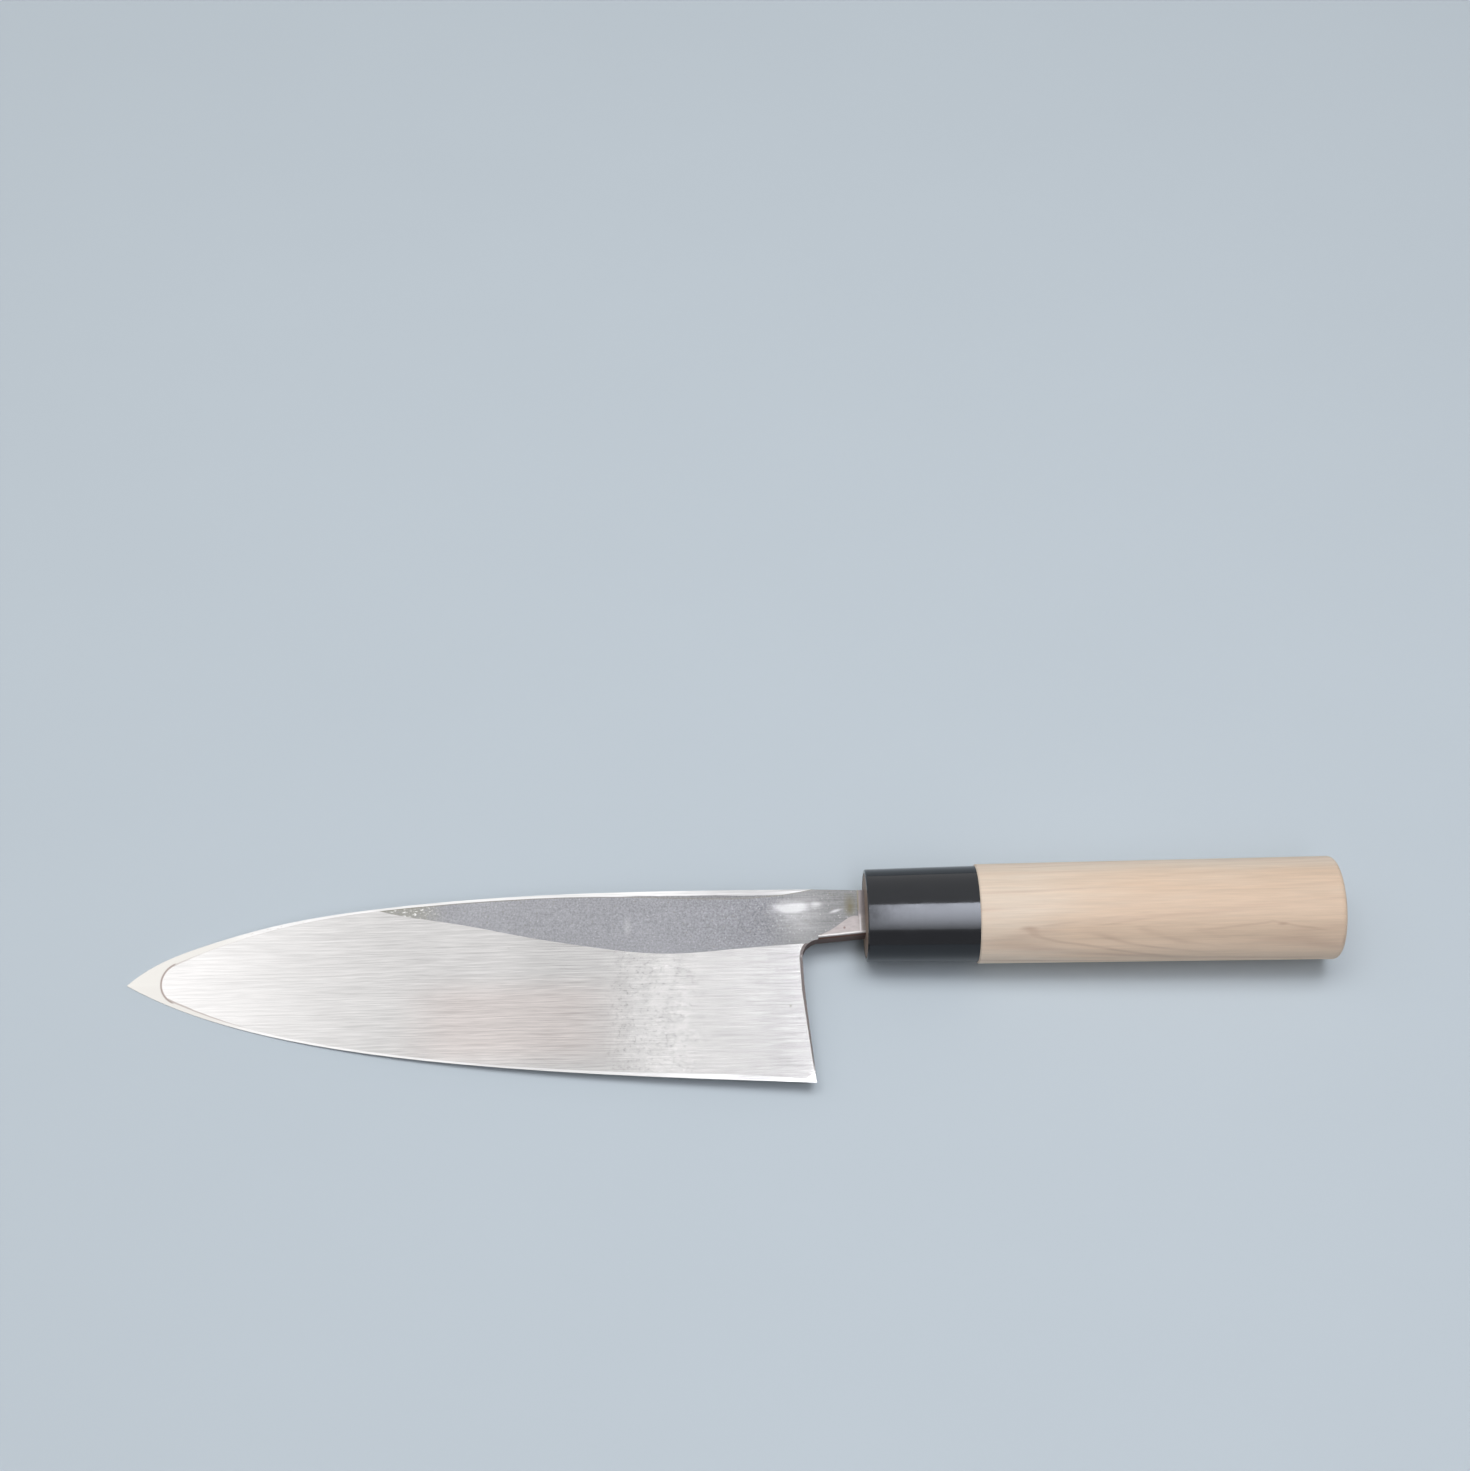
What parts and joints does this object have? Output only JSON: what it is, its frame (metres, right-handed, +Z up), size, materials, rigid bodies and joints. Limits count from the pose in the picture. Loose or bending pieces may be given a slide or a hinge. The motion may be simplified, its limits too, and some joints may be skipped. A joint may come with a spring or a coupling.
{
  "type": "deba knife",
  "caption": "Heavy single-bevel kitchen knife with a wheel-ground hollow back, a forged neck and tang, a black ferrule and an oval wooden handle.",
  "frame": {"origin": "on the table, under the middle of the whole knife's bounding box, with the knife lying still on its own", "axes": "+X along the handle towards its butt, so the point is at -X; +Y towards the spine, so the cutting edge is at -Y; +Z up from the table, and the hollow back of the blade faces up"},
  "size_m": [0.3136, 0.0562, 0.0259],
  "materials": {
    "soft_iron": "matte",
    "hard_steel": "satin",
    "ferrule": "gloss",
    "magnolia_wood": "matte",
    "bedding_resin": "matte"
  },
  "bodies": {
    "root": {"iron_blade_body": "soft_iron", "steel_face": "hard_steel", "ferrule": "ferrule", "handle": "magnolia_wood", "tang_bedding": "bedding_resin"}
  },
  "joints": []
}
